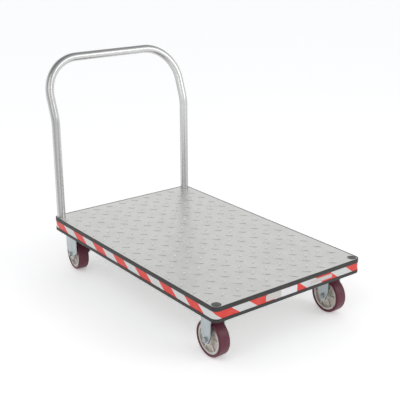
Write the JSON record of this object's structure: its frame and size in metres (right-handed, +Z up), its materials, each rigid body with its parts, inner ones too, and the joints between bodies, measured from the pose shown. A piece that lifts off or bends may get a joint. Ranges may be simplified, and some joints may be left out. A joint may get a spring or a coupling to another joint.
{
  "type": "flatbed platform truck",
  "caption": "Flatbed platform truck with a treadplate deck, striped bumper edge, lift-out push handle, fixed front casters and swivel rear casters.",
  "frame": {"origin": "on the floor, under the middle of the deck", "axes": "+X along the deck towards the fixed-caster end, away from the handle; +Y across the deck towards its left side; +Z up, normal to the deck"},
  "size_m": [1.3045, 0.762, 0.9885],
  "materials": {
    "treadplate": "mill finish rolled treadplate",
    "frame": "mill finish extrusion",
    "bumper": "satin extruded",
    "reflective_tape": "red and white diagonal retroreflective film",
    "handle": "satin tube",
    "zinc_plate": "bright zinc plated",
    "fasteners": "zinc plated",
    "bearing_steel": "ground",
    "wheel_hub": "as cast, rim machined",
    "tyre": "moulded polyurethane"
  },
  "bodies": {
    "deck": {"tread_plate": "treadplate", "side_rail_left": "frame", "side_rail_right": "frame", "end_rail_front": "frame", "end_rail_rear": "frame", "cross_member_rear": "frame", "cross_member_middle": "frame", "cross_member_front": "frame", "handle_socket_front_left": "frame", "handle_socket_front_right": "frame", "handle_socket_rear_left": "frame", "handle_socket_rear_right": "frame", "caster_pad_front_left": "frame", "caster_pad_front_right": "frame", "caster_pad_rear_left": "frame", "caster_pad_rear_right": "frame", "bumper_front": "bumper", "bumper_left": "bumper", "bumper_rear": "bumper", "bumper_right": "bumper", "reflective_tape": "reflective_tape", "caster_bolts": "fasteners", "caster_nuts": "fasteners", "fixed_fork_left": "zinc_plate", "swivel_plate_left": "zinc_plate", "king_pin_left": "fasteners", "king_nut_left": "fasteners", "swivel_balls_left": "bearing_steel", "axle_bolt_front_left": "fasteners", "axle_nut_front_left": "fasteners", "axle_bush_front_left": "bearing_steel", "fixed_fork_right": "zinc_plate", "swivel_plate_right": "zinc_plate", "king_pin_right": "fasteners", "king_nut_right": "fasteners", "swivel_balls_right": "bearing_steel", "axle_bolt_front_right": "fasteners", "axle_nut_front_right": "fasteners", "axle_bush_front_right": "bearing_steel"},
    "handle": {"push_handle": "handle"},
    "swivel_left": {"swivel_fork_left": "zinc_plate", "axle_bolt_rear_left": "fasteners", "axle_nut_rear_left": "fasteners", "axle_bush_rear_left": "bearing_steel"},
    "swivel_right": {"swivel_fork_right": "zinc_plate", "axle_bolt_rear_right": "fasteners", "axle_nut_rear_right": "fasteners", "axle_bush_rear_right": "bearing_steel"},
    "wheel_front_left": {"wheel_hub_front_left": "wheel_hub", "tyre_front_left": "tyre", "wheel_bearings_front_left": "bearing_steel"},
    "wheel_front_right": {"wheel_hub_front_right": "wheel_hub", "tyre_front_right": "tyre", "wheel_bearings_front_right": "bearing_steel"},
    "wheel_rear_left": {"wheel_hub_rear_left": "wheel_hub", "tyre_rear_left": "tyre", "wheel_bearings_rear_left": "bearing_steel"},
    "wheel_rear_right": {"wheel_hub_rear_right": "wheel_hub", "tyre_rear_right": "tyre", "wheel_bearings_rear_right": "bearing_steel"}
  },
  "joints": [
    {"name": "handle_lift", "type": "slide", "parent": "deck", "child": "handle", "axis": [0, 0, 1], "range_m": [0, 0.055]},
    {"name": "swivel_left_turn", "type": "hinge", "parent": "deck", "child": "swivel_left", "pos_m": [-0.49765, 0.309, 0.1905], "axis": [0, 0, 1], "continuous": true},
    {"name": "swivel_right_turn", "type": "hinge", "parent": "deck", "child": "swivel_right", "pos_m": [-0.49765, -0.309, 0.1905], "axis": [0, 0, 1], "continuous": true},
    {"name": "wheel_front_left_spin", "type": "hinge", "parent": "deck", "child": "wheel_front_left", "pos_m": [0.50665, 0.309, 0.0762], "axis": [0, 1, 0], "continuous": true},
    {"name": "wheel_rear_left_spin", "type": "hinge", "parent": "swivel_left", "child": "wheel_rear_left", "pos_m": [-0.53537, 0.31363, 0.0762], "axis": [0.1219, 0.9925, 0], "continuous": true},
    {"name": "wheel_front_right_spin", "type": "hinge", "parent": "deck", "child": "wheel_front_right", "pos_m": [0.50665, -0.309, 0.0762], "axis": [0, 1, 0], "continuous": true},
    {"name": "wheel_rear_right_spin", "type": "hinge", "parent": "swivel_right", "child": "wheel_rear_right", "pos_m": [-0.53537, -0.30437, 0.0762], "axis": [0.1219, 0.9925, 0], "continuous": true}
  ]
}
